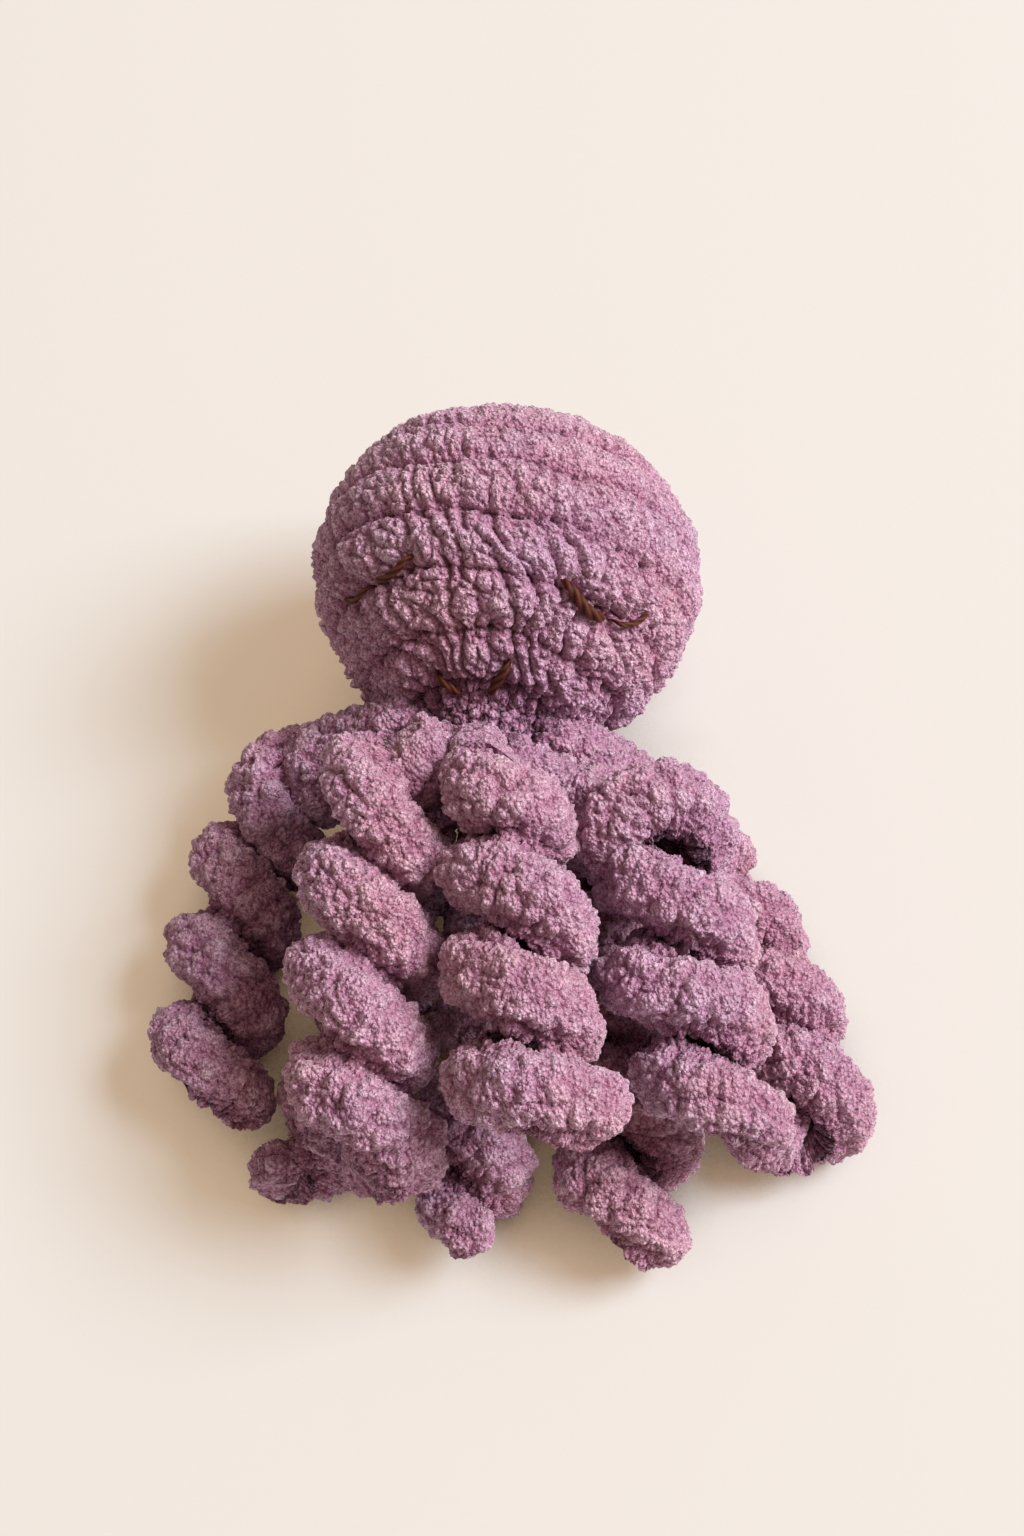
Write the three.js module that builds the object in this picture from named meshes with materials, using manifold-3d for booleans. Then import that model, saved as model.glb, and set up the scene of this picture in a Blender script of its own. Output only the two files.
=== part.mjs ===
import * as THREE from 'three';
import { mergeVertices } from 'three/addons/utils/BufferGeometryUtils.js';
import Module from 'manifold-3d';

const wasm = await Module();
wasm.setup();

// Driving dimensions, in millimetres and degrees.
// The toy lies on its back: +Z is up and the crown of the head points along +Y.

// Head: a crocheted ball, a little shorter than it is wide. Its rounds of stitches run around
// the axis between an angle from the crown and the neck opening.
const headRadius = 39;
const headHalfLength = 34;
const headYaw = 7.3;
const coverThickness = 5.2;
const crownAngle = 7;
const roundAngle = 19;
const roundsOnHead = 8;
const lastRoundAngle = 11;
const roundDepth = 1.3;

// Neck: the last, drawn-in rounds, and the yarn that closes them.
const collarThickness = 5;
const collarOverhang = 1.7;
const collarSplay = 35;
const yarnRadius = 1.5;
const yarnLoopRadius = 1.7;
const yarnTailLength = 34;

// Face: straight stitches of thick thread, and the knot behind them.
const threadRadius = 1.15;
const knotRadius = 2;
const knotDepth = 0.9;

// Tentacles: strips that curl into left-handed corkscrews.
const curlRadius = 13.6;
const stripWidth = 17.2;
const stripThickness = 10.4;
const turnGap = 1.4;
const rootRadius = 2.1;
const rootSwell = 1.5;
const rootLength = 6;

// Fits between pieces, and the depth that the toy's weight presses flat.
const clearance = 0.3;
const restingFlat = 0.5;

// Facets.
const headSegments = 36;
const stepsInRound = 3;
const collarSegments = 24;
const cordSides = 8;
const cordSteps = 12;
const loopSegments = 16;
const rootSpans = 2;
const curlSteps = 8;
const stripSides = 8;

const rad = THREE.MathUtils.degToRad;
const lerp = THREE.MathUtils.lerp;

function finish(name, color, roughness) {
  return new THREE.MeshStandardMaterial({ name, color: new THREE.Color(...color), roughness, metalness: 0 });
}

const chenille = finish('chenille', [0.48, 0.26, 0.4], 0.95);
const fibre = finish('fibre', [0.88, 0.86, 0.8], 1);
const thread = finish('thread', [0.16, 0.05, 0.02], 0.8);

const toy = new THREE.Group();

function addPiece(name, geometry, material, parent = toy) {
  const mesh = new THREE.Mesh(geometry, material);
  mesh.name = name;
  parent.add(mesh);
}

// Solids that are cut by one another.

function toSolid(geometry) {
  const bare = geometry.clone();
  bare.deleteAttribute('normal');
  bare.deleteAttribute('uv');
  const merged = mergeVertices(bare, 1e-4);
  return new wasm.Manifold(new wasm.Mesh({
    numProp: 3,
    vertProperties: new Float32Array(merged.attributes.position.array),
    triVerts: new Uint32Array(merged.index.array),
  }));
}

function toGeometry(solid) {
  const mesh = solid.getMesh();
  const geometry = new THREE.BufferGeometry();
  geometry.setAttribute('position', new THREE.BufferAttribute(new Float32Array(mesh.vertProperties), 3));
  geometry.setIndex(new THREE.BufferAttribute(new Uint32Array(mesh.triVerts), 1));
  geometry.computeVertexNormals();
  return geometry;
}

// The bed is the plane z = 0. What would sink into it is pressed flat.
function pressedFlat(geometry, matrix = new THREE.Matrix4()) {
  const placed = geometry.clone().applyMatrix4(matrix);
  placed.computeBoundingBox();
  if (placed.boundingBox.min.z >= 0) {
    return geometry;
  }
  const size = 20 * headRadius;
  const bed = new THREE.BoxGeometry(size, size, size);
  bed.translate(0, 0, -size / 2);
  return toGeometry(toSolid(placed).subtract(toSolid(bed))).applyMatrix4(matrix.clone().invert());
}

// Head. In its own frame the head's axis is Y, from the neck up to the crown.

const head = new THREE.Group();
head.position.z = headRadius - restingFlat;
head.rotation.z = -rad(headYaw);
head.updateMatrix();
toy.add(head);

const lastGrooveAngle = crownAngle + roundAngle * roundsOnHead;
const openingAngle = lastGrooveAngle + lastRoundAngle;

// The ball's profile at an angle from the crown, moved outwards by `out`.
function headProfile(angle, out = 0) {
  const across = Math.sin(rad(angle));
  const along = Math.cos(rad(angle));
  const normal = new THREE.Vector2(across / headRadius, along / headHalfLength).normalize();
  return new THREE.Vector2(headRadius * across, headHalfLength * along).addScaledVector(normal, out);
}

// Depth below the ball's surface: each round of stitches bulges between two grooves.
function grooveDepth(angle) {
  const place = (angle - crownAngle) / roundAngle;
  return roundDepth * (1 - Math.sqrt(Math.abs(Math.sin(Math.PI * place))));
}

// A profile that runs from the crown to the neck is turned over, so that the faces look outwards.
function revolve(outline, segments) {
  return new THREE.LatheGeometry([...outline].reverse(), segments);
}

function coverOutline() {
  const outline = [new THREE.Vector2(0, headHalfLength - roundDepth)];
  for (let step = 0; step <= roundsOnHead * stepsInRound; step += 1) {
    const angle = crownAngle + (step * roundAngle) / stepsInRound;
    outline.push(headProfile(angle, -grooveDepth(angle)));
  }
  outline.push(headProfile(openingAngle, -roundDepth));
  for (let step = roundsOnHead; step >= 1; step -= 1) {
    outline.push(headProfile((openingAngle * step) / roundsOnHead, -coverThickness));
  }
  outline.push(new THREE.Vector2(0, headHalfLength - coverThickness));
  return outline;
}

addPiece('head_cover', pressedFlat(revolve(coverOutline(), headSegments), head.matrix), chenille, head);

// The collar sits in the neck opening and overhangs the cover's edge.

const openingInside = headProfile(openingAngle, -coverThickness);
const openingOutside = headProfile(openingAngle, -roundDepth);
const plugRadius = openingInside.x - clearance;
const collarRadius = openingOutside.x + collarOverhang;
const collarTop = openingInside.y;
const collarSeat = openingOutside.y - clearance;
const collarRim = collarSeat - collarThickness;
const holeRadius = yarnLoopRadius + yarnRadius + clearance;
const collarFace = collarRim - (collarRadius - holeRadius) * Math.tan(rad(collarSplay));

function collarOutline() {
  return [
    new THREE.Vector2(holeRadius, collarTop),
    new THREE.Vector2(plugRadius, collarTop),
    new THREE.Vector2(plugRadius, collarSeat),
    new THREE.Vector2(collarRadius, collarSeat),
    new THREE.Vector2(collarRadius, collarRim),
    new THREE.Vector2(holeRadius, collarFace),
    new THREE.Vector2(holeRadius, collarTop),
  ];
}

addPiece('neck_collar', revolve(collarOutline(), collarSegments), chenille, head);

// The closing yarn is a drawn loop in the collar's hole, and its tail lies in the stuffing.

const loopPlace = (collarTop + collarFace) / 2;

function closingYarn() {
  const loop = new THREE.TorusGeometry(yarnLoopRadius, yarnRadius, cordSides, loopSegments);
  return loop.rotateX(Math.PI / 2).translate(0, loopPlace, 0);
}

addPiece('closing_yarn', closingYarn(), chenille, head);

function roundSection(radius) {
  const section = new THREE.Shape();
  for (let side = 0; side < cordSides; side += 1) {
    const angle = (2 * Math.PI * side) / cordSides;
    const corner = [radius * Math.cos(angle), radius * Math.sin(angle)];
    if (side === 0) {
      section.moveTo(...corner);
    } else {
      section.lineTo(...corner);
    }
  }
  section.closePath();
  return section;
}

// A round cord of one thickness along a curve.
function cord(curve, radius) {
  return new THREE.ExtrudeGeometry(roundSection(radius), {
    steps: cordSteps,
    extrudePath: curve,
    bevelEnabled: false,
  });
}

const tailStart = loopPlace + yarnRadius + clearance;
const tailBend = yarnTailLength / 4;
const tailCurve = new THREE.CatmullRomCurve3([
  new THREE.Vector3(0, tailStart, 0),
  new THREE.Vector3(0, tailStart + yarnTailLength / 3, 0),
  new THREE.Vector3(tailBend / 3, tailStart + (2 * yarnTailLength) / 3, 0),
  new THREE.Vector3(tailBend, tailStart + yarnTailLength, 0),
]);
addPiece('closing_yarn_tail', cord(tailCurve, yarnRadius), chenille, head);

// Face. Each stitch runs between two places on the head, given as
// [degrees towards the neck from the middle, degrees round from the top].

function onHead([down, round], out) {
  const profile = headProfile(90 + down, out);
  return new THREE.Vector3(profile.x * Math.sin(rad(round)), profile.y, profile.x * Math.cos(rad(round)));
}

// A stitch lies along the highest stretch of the rounds that it crosses.
function stitch(from, to) {
  const places = [];
  for (let step = 0; step <= cordSteps; step += 1) {
    const share = step / cordSteps;
    places.push([lerp(from[0], to[0], share), lerp(from[1], to[1], share)]);
  }
  const sunk = Math.min(...places.map(([down]) => grooveDepth(90 + down)));
  const points = places.map((place) => onHead(place, threadRadius + clearance - sunk));
  return cord(new THREE.CatmullRomCurve3(points), threadRadius);
}

const stitches = {
  left_eye_long_stitch: [[25.6, -27.7], [30.4, -43.5]],
  left_eye_short_stitch: [[31.2, -48.5], [30.5, -62]],
  right_eye_long_stitch: [[29.1, 22.8], [35.3, 42]],
  right_eye_short_stitch: [[33.9, 47.5], [25, 57]],
  mouth_left_stitch: [[63, -34], [71, -22]],
  mouth_right_stitch: [[71, 4], [58.5, 12.3]],
};
for (const [name, [from, to]] of Object.entries(stitches)) {
  addPiece(name, stitch(from, to), thread, head);
}

const knotPlace = onHead([32, 36], -coverThickness - knotDepth - knotRadius);

function knot(radius) {
  return new THREE.SphereGeometry(radius, cordSides, cordSides).translate(...knotPlace);
}

addPiece('face_thread_knot', knot(knotRadius), thread, head);

// Stuffing: it fills the cover down to the collar, with a channel for the tail and a pocket for the knot.

function stuffingOutline() {
  const inside = -coverThickness - clearance;
  const floor = collarTop + clearance;
  const outline = [new THREE.Vector2(0, headProfile(0, inside).y)];
  for (let span = 1; span < roundsOnHead; span += 1) {
    const point = headProfile((openingAngle * span) / roundsOnHead, inside);
    outline.push(new THREE.Vector2(point.x, Math.max(point.y, floor)));
  }
  outline.push(new THREE.Vector2(plugRadius, floor));
  outline.push(new THREE.Vector2(0, floor));
  return outline;
}

function tailChannel() {
  const below = new THREE.Vector3(0, collarTop - clearance, 0);
  const channel = new THREE.CatmullRomCurve3([below, ...tailCurve.points.slice(1)]);
  channel.points[channel.points.length - 1] = tailCurve.points.at(-1).clone()
    .addScaledVector(tailCurve.getTangent(1), clearance);
  return cord(channel, yarnRadius + 2 * clearance);
}

const stuffing = toSolid(revolve(stuffingOutline(), headSegments))
  .subtract(toSolid(tailChannel()))
  .subtract(toSolid(knot(knotRadius + clearance)));
addPiece('head_stuffing', toGeometry(stuffing), fibre, head);

// Tentacles. A route starts on the collar, at an angle round it from the toy's right, and points
// straight away from its face or out from its rim. It then runs through places that are given in
// curl radii: [to the side, forward of the collar, above the bed]. The strip stays narrow for a
// lead, in steps of an eighth of a turn, and turn is the angle in degrees at which it leaves the
// root. Swell is the size of its curls at the start and the end of the route. Lean is how far the
// right side of a curl lies ahead of its left side, at the start and the end. Tip is the size of the
// last curl beside the one before it.

const tentacles = [
  {
    name: 'tentacle_1',
    around: 180,
    fromRim: true,
    lead: 7,
    swell: [0.82, 0.94],
    lean: [2, 2],
    tip: 0.65,
    turn: 0,
    route: [[-2.5, -0.2, 1.7], [-3.25, 0.7, 1.0], [-3.6, 1.8, 0.87], [-3.76, 2.9, 0.91], [-3.88, 4, 0.93],
      [-3.75, 4.75, 0.88]],
  },
  {
    name: 'tentacle_2',
    around: 135,
    lead: 2.3,
    swell: [0.95, 1],
    lean: [3, 3],
    tip: 0.75,
    turn: 0,
    route: [[-1.11, 0.85, 3.57], [-1.42, 1.73, 3.38], [-1.52, 3.05, 3.12], [-1.62, 4.23, 2.9], [-1.5, 5.26, 2.57],
      [-1.4, 6.15, 2.25]],
  },
  {
    name: 'tentacle_3',
    around: 90,
    lead: 3,
    swell: [0.95, 1],
    lean: [2.5, 0],
    tip: 1.45,
    pitch: 1.02,
    turn: 75,
    route: [[0.05, 0.85, 3.9], [0.2, 1.58, 3.9], [0.55, 2.68, 3.8], [0.5, 3.93, 3.65], [0.78, 5.75, 3.42]],
  },
  {
    name: 'tentacle_4',
    around: 40,
    lead: 6,
    swell: [0.98, 1.1],
    lean: [1.5, 2],
    tip: 0.6,
    turn: -135,
    route: [[1.3, 0.93, 3.12], [2.45, 1.58, 3.15], [2.65, 2.68, 3.0], [2.72, 3.86, 2.85], [3.15, 4.96, 2.75],
      [3.4, 5.8, 2.4]],
  },
  {
    name: 'tentacle_5',
    around: 0,
    fromRim: true,
    lead: 15,
    swell: [0.85, 0.94],
    lean: [2, 2],
    tip: 0.7,
    turn: 0,
    route: [[2.5, 0.3, 1.5], [3.1, 1.0, 0.97], [3.6, 1.8, 0.87], [4.1, 3.05, 0.91], [4.6, 4.4, 0.94],
      [4.55, 5.6, 0.9]],
  },
  {
    name: 'tentacle_6',
    around: 225,
    lead: 3,
    swell: [0.62, 0.85],
    lean: [1, 1],
    tip: 0.55,
    turn: 0,
    route: [[-0.89, 0.7, 1.62], [-1.28, 1.58, 1.0], [-1.49, 2.9, 0.72], [-1.79, 4.15, 0.76], [-2.4, 5.35, 0.8],
      [-2.75, 6.05, 0.76]],
  },
  {
    name: 'tentacle_7',
    around: 270,
    lead: 5,
    swell: [0.62, 0.9],
    lean: [1, 1],
    turn: 0,
    route: [[0.07, 0.7, 1.47], [0.14, 1.58, 0.9], [0.12, 3.05, 0.73], [0.05, 4.52, 0.79], [-0.2, 5.85, 0.83],
      [-0.1, 6.75, 0.77]],
  },
  {
    name: 'tentacle_8',
    around: 315,
    lead: 5,
    swell: [0.6, 1.1],
    lean: [1, 1],
    tip: 0.65,
    turn: 0,
    route: [[0.98, 0.75, 1.54], [1.65, 1.58, 1.0], [2.0, 2.9, 0.8], [2.1, 4.3, 0.95], [2.05, 5.63, 1.05],
      [2, 6.7, 0.85]],
  },
];

const collarCentre = new THREE.Vector3(0, collarRim, 0).applyMatrix4(head.matrix);

// The middle of the collar's rim, or of its sloping face, in a plane through the head's axis.
function rootStart(fromRim) {
  if (fromRim) {
    return new THREE.Vector2(collarRadius + clearance, (collarSeat + collarRim) / 2);
  }
  const slope = new THREE.Vector2(Math.sin(rad(collarSplay)), -Math.cos(rad(collarSplay)));
  const inset = rootRadius * Math.cos(rad(collarSplay)) + clearance;
  return new THREE.Vector2(collarRadius - inset, collarRim - inset * Math.tan(rad(collarSplay)))
    .addScaledVector(slope, clearance);
}

function tentacleRoute({ around, fromRim = false, route }) {
  const spoke = new THREE.Vector3(Math.cos(rad(around)), 0, Math.sin(rad(around)));
  const { x: reach, y: along } = rootStart(fromRim);
  const start = spoke.clone().multiplyScalar(reach).setY(along);
  const splay = rad(fromRim ? 90 : collarSplay);
  const direction = spoke.clone().multiplyScalar(Math.sin(splay)).setY(-Math.cos(splay));
  const rootEnd = start.clone().addScaledVector(direction, rootLength);
  const points = [start, rootEnd].map((point) => point.applyMatrix4(head.matrix));
  for (const [side, forward, height] of route) {
    points.push(new THREE.Vector3(
      collarCentre.x + side * curlRadius,
      collarCentre.y - forward * curlRadius,
      height * curlRadius,
    ));
  }
  const curve = new THREE.CatmullRomCurve3(points, false, 'centripetal');
  curve.arcLengthDivisions = 400;
  return curve;
}

// Unit vectors along the route, up from it, and to its left seen from above with the route ahead.
function routeFrame(curve, share) {
  const ahead = curve.getTangentAt(share);
  const up = new THREE.Vector3(0, 0, 1).addScaledVector(ahead, -ahead.z).normalize();
  return { ahead, up, left: up.clone().cross(ahead) };
}

// Rings of points are joined into a closed tube, with a flat end at each end.
function tube(rings) {
  const sides = rings[0].length;
  const corners = rings.flat().flatMap((point) => point.toArray());
  const faces = [];
  for (let ring = 0; ring + 1 < rings.length; ring += 1) {
    for (let side = 0; side < sides; side += 1) {
      const here = ring * sides + side;
      const next = ring * sides + ((side + 1) % sides);
      faces.push(here, next, next + sides, here, next + sides, here + sides);
    }
  }
  const last = (rings.length - 1) * sides;
  for (let side = 1; side + 1 < sides; side += 1) {
    faces.push(0, side + 1, side);
    faces.push(last, last + side, last + side + 1);
  }
  const geometry = new THREE.BufferGeometry();
  geometry.setAttribute('position', new THREE.Float32BufferAttribute(corners, 3));
  geometry.setIndex(faces);
  geometry.computeVertexNormals();
  return geometry;
}

// The root is the straight first stitches between the collar and the first curl.
function rootRings(curve) {
  const length = curve.getLength();
  const rings = [];
  for (let span = 0; span <= rootSpans; span += 1) {
    const share = (rootLength * span) / rootSpans / length;
    const { up, left } = routeFrame(curve, share);
    const centre = curve.getPointAt(share);
    const radius = rootRadius * lerp(1, rootSwell, span / rootSpans);
    rings.push(sectionRing(centre, up, left.negate(), radius, radius));
  }
  return rings;
}

function sectionRing(centre, outwards, across, halfThickness, halfWidth) {
  const ring = [];
  const fullness = 1 / Math.cos(Math.PI / stripSides);
  for (let side = 0; side < stripSides; side += 1) {
    const angle = (2 * Math.PI * (side + 0.5)) / stripSides;
    ring.push(centre.clone()
      .addScaledVector(outwards, halfThickness * fullness * Math.cos(angle))
      .addScaledVector(across, halfWidth * fullness * Math.sin(angle)));
  }
  return ring;
}

// The strip opens out of its lead in half a turn, and draws in to its tip, or flares, over its last.
function curlRings({ lead, swell, lean, turn, pitch = 1, tip = 0.5 }, curve) {
  const length = curve.getLength();
  const start = rootLength + 2 * clearance;
  const tipWidth = Math.min(1, tip);
  const turns = (length - start) / (stripWidth * pitch + turnGap);
  const steps = Math.round(turns * curlSteps);
  const smooth = THREE.MathUtils.smoothstep;
  const nearby = 0.1;

  function sizeAt(step) {
    const opened = smooth(step, lead, lead + curlSteps / 2);
    const drawn = smooth(step, steps - curlSteps, steps);
    return { opened, drawn, swollen: lerp(swell[0], swell[1], step / steps) };
  }

  function centreAt(step) {
    const share = THREE.MathUtils.clamp(lerp(start, length, step / steps) / length, 0, 1);
    const { opened, drawn, swollen } = sizeAt(step);
    const { ahead, up, left } = routeFrame(curve, share);
    const angle = rad(turn) + (2 * Math.PI * step) / curlSteps;
    const outwards = up.multiplyScalar(Math.cos(angle)).addScaledVector(left, Math.sin(angle));
    const reach = (curlRadius - stripThickness / 2) * swollen * opened * lerp(1, tip, drawn);
    const centre = curve.getPointAt(share)
      .addScaledVector(outwards, reach)
      .addScaledVector(ahead, lerp(lean[0], lean[1], step / steps) * opened * Math.sin(angle));
    return { centre, outwards };
  }

  const rings = [];
  for (let step = 0; step <= steps; step += 1) {
    const { centre, outwards } = centreAt(step);
    const before = centreAt(Math.max(step - nearby, 0)).centre;
    const along = centreAt(Math.min(step + nearby, steps)).centre.sub(before).normalize();
    const out = outwards.addScaledVector(along, -along.dot(outwards)).normalize();
    const across = along.clone().cross(out);
    const { opened, drawn, swollen } = sizeAt(step);
    const thickness = lerp(rootRadius * rootSwell, (stripThickness / 2) * swollen, opened);
    const width = lerp(rootRadius * rootSwell, (stripWidth / 2) * pitch, opened);
    const drawnIn = lerp(1, tipWidth, drawn);
    rings.push(sectionRing(centre, out, across, thickness * drawnIn, width * drawnIn));
  }
  return rings;
}

// The least distance between corners of the strip that lie three quarters of a turn or more apart.
function leastGap(rings) {
  const stepsApart = (3 * curlSteps) / 4;
  let least = Infinity;
  for (let one = 0; one < rings.length; one += 1) {
    for (let other = one + stepsApart; other < rings.length; other += 1) {
      for (const from of rings[one]) {
        for (const to of rings[other]) {
          least = Math.min(least, from.distanceTo(to));
        }
      }
    }
  }
  return least;
}

for (const tentacle of tentacles) {
  const curve = tentacleRoute(tentacle);
  const rings = curlRings(tentacle, curve);
  addPiece(`${tentacle.name}_root`, tube(rootRings(curve)), chenille);
  addPiece(tentacle.name, pressedFlat(tube(rings)), chenille);
  console.log(`${tentacle.name}: least gap to itself ${leastGap(rings).toFixed(2)} mm`);
}

// The toy's origin is under the middle of its outline, on the bed.
const outline = new THREE.Box3().setFromObject(toy, true);
const middle = outline.getCenter(new THREE.Vector3());
toy.position.set(-middle.x, -middle.y, -outline.min.z);

export default toy;
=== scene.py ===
"""A crocheted chenille octopus that lies on its back, with a sleepy face and curled tentacles."""
import math

import bmesh
import bpy
import numpy as np
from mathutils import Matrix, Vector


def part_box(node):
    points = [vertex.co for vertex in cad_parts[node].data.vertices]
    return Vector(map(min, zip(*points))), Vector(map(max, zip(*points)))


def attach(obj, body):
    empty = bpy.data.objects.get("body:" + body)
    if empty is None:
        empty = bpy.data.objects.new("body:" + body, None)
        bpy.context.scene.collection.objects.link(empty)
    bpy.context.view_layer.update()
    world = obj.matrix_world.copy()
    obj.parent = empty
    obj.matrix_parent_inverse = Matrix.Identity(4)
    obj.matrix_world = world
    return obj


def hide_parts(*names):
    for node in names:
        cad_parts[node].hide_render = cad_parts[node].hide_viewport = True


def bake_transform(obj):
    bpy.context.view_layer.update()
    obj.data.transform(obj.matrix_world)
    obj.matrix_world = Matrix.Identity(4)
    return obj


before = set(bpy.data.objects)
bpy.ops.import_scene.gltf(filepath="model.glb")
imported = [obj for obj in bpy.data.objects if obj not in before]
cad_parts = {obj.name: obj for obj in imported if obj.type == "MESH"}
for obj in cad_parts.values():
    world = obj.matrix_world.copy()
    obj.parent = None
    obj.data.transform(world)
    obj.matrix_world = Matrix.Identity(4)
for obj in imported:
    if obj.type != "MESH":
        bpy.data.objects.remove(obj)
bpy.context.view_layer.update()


# Camera. It looks down on the toy from 65 degrees above the bed, from the side of the tentacles,
# with a normal lens. Places are in millimetres, counted from the middle of the head.
MM = 0.001
HEAD_YAW = math.radians(7.3)
CLOSING_YARN_PLACE = -34.593
CAMERA_ASIDE = 1.0
CAMERA_BELOW = -217.2
CAMERA_HEIGHT = 413.5
CAMERA_ELEVATION = 65.0
CAMERA_LENS = 50.0
CAMERA_SENSOR = 36.0

head_axis = np.array([math.sin(HEAD_YAW), math.cos(HEAD_YAW), 0.0])
head_side = np.array([math.cos(HEAD_YAW), -math.sin(HEAD_YAW), 0.0])
up_axis = np.array([0.0, 0.0, 1.0])
yarn_box = np.array(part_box("closing_yarn")) / MM
head_middle = yarn_box.mean(axis=0) - CLOSING_YARN_PLACE * head_axis

camera_data = bpy.data.cameras.new("camera")
camera_data.lens = CAMERA_LENS
camera_data.sensor_width = CAMERA_SENSOR
camera = bpy.data.objects.new("camera", camera_data)
camera.location = (
    (head_middle[0] + CAMERA_ASIDE) * MM,
    (head_middle[1] + CAMERA_BELOW) * MM,
    CAMERA_HEIGHT * MM,
)
camera.rotation_euler = (math.radians(90.0 - CAMERA_ELEVATION), 0.0, 0.0)
bpy.context.scene.collection.objects.link(camera)
bpy.context.scene.camera = camera


# Chenille yarn. A thick, soft pile yarn: it shows round tufts with dark creases between them, and
# fine fibres on each tuft. Its colour holds painted shade, near black in the creases, and painted
# light, pale on the tufts' tops.
TUFT_COLOR = (0.66, 0.325, 0.50, 1.0)
TUFT_TOP_PAINTED_LIGHT_COLOR = (0.97, 0.68, 0.87, 1.0)
PAINTED_CREASE_SHADE_COLOR = (0.045, 0.009, 0.025, 1.0)
COOL_SHADE = (0.93, 0.95, 1.0, 1.0)
WARM_SHADE = (1.0, 0.95, 0.90, 1.0)
SHADE_SIZE = 0.03
PILE_END_SIZE = 0.0008
PILE_END_PAINTED_SHADE = (0.55, 0.44, 0.50, 1.0)
FIBRE_SIZE = 0.0003
FIBRE_SHADE = (0.60, 0.50, 0.56, 1.0)
SHEEN_TINT = (0.95, 0.78, 0.88, 1.0)
WHITE = (1.0, 1.0, 1.0, 1.0)


def node(tree, kind, **values):
    """A shader node with some of its sockets set."""
    new = tree.nodes.new(kind)
    for name, value in values.items():
        new.inputs[name].default_value = value
    return new


def ramp(tree, factor, stops):
    """A colour ramp over a factor socket."""
    new = tree.nodes.new("ShaderNodeValToRGB")
    elements = new.color_ramp.elements
    while len(elements) < len(stops):
        elements.new(0.5)
    for element, (place, color) in zip(elements, stops):
        element.position = place
        element.color = color
    tree.links.new(factor, new.inputs["Fac"])
    return new.outputs["Color"]


def multiplied(tree, first, second):
    """The product of two colours."""
    new = tree.nodes.new("ShaderNodeMix")
    new.data_type = "RGBA"
    new.blend_type = "MULTIPLY"
    new.inputs["Factor"].default_value = 1.0
    tree.links.new(first, new.inputs["A"])
    tree.links.new(second, new.inputs["B"])
    return new.outputs["Result"]


def chenille_material():
    """Colour by the height of the tufts, as painted shade in the creases and painted light on the
    tops;
    slow changes of shade; painted shade at the edges of the fibre ends; fibre ends and fibres as
    bump.
    """
    material = bpy.data.materials.new("chenille")
    material.use_nodes = True
    tree = material.node_tree
    shader = tree.nodes["Principled BSDF"]
    place = tree.nodes.new("ShaderNodeTexCoord").outputs["Object"]
    pile_and_shade = tree.nodes.new("ShaderNodeAttribute")
    pile_and_shade.attribute_name = "pile_and_shade"
    # Painted shade and light: by the pile value the colour runs near black in the creases and pale
    # on the tufts' tops.
    base = ramp(tree, pile_and_shade.outputs["Fac"], [
        (0.13, PAINTED_CREASE_SHADE_COLOR),
        (0.36, TUFT_COLOR),
        (0.78, TUFT_TOP_PAINTED_LIGHT_COLOR),
    ])
    shade = node(tree, "ShaderNodeTexNoise", Scale=1.0 / SHADE_SIZE, Detail=2.0)
    tree.links.new(place, shade.inputs["Vector"])
    shades = ramp(tree, shade.outputs["Fac"], [(0.35, COOL_SHADE), (0.65, WARM_SHADE)])
    ends = node(tree, "ShaderNodeTexVoronoi", Scale=1.0 / PILE_END_SIZE)
    tree.links.new(place, ends.inputs["Vector"])
    # Painted shade: the colour darkens towards the edges of the cells of fibre ends, in the fine
    # creases between them.
    painted_pile_end_shade = ramp(tree, ends.outputs["Distance"], [(0.45, WHITE), (0.85, PILE_END_PAINTED_SHADE)])
    fibres = node(tree, "ShaderNodeTexNoise", Scale=1.0 / FIBRE_SIZE, Detail=1.0)
    tree.links.new(place, fibres.inputs["Vector"])
    streaks = ramp(tree, fibres.outputs["Fac"], [(0.36, FIBRE_SHADE), (0.54, WHITE)])
    color = multiplied(tree, multiplied(tree, multiplied(tree, base, shades), painted_pile_end_shade), streaks)
    tree.links.new(color, shader.inputs["Base Color"])
    fine = node(tree, "ShaderNodeBump", Strength=0.6, Distance=FIBRE_SIZE)
    tree.links.new(fibres.outputs["Fac"], fine.inputs["Height"])
    coarse = node(tree, "ShaderNodeBump", Strength=1.0, Distance=0.9 * PILE_END_SIZE)
    coarse.invert = True
    tree.links.new(ends.outputs["Distance"], coarse.inputs["Height"])
    tree.links.new(fine.outputs["Normal"], coarse.inputs["Normal"])
    tree.links.new(coarse.outputs["Normal"], shader.inputs["Normal"])
    shader.inputs["Roughness"].default_value = 0.9
    shader.inputs["Specular IOR Level"].default_value = 0.12
    shader.inputs["Sheen Weight"].default_value = 0.6
    shader.inputs["Sheen Roughness"].default_value = 0.35
    shader.inputs["Sheen Tint"].default_value = SHEEN_TINT
    return material


AXIS_FACTORS = (73856093, 19349663, 83492791)
MIXING_FACTORS = (2246822519, 3266489917, 668265263)
SEED_FACTOR, SEED_START = 2654435, 97


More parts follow.
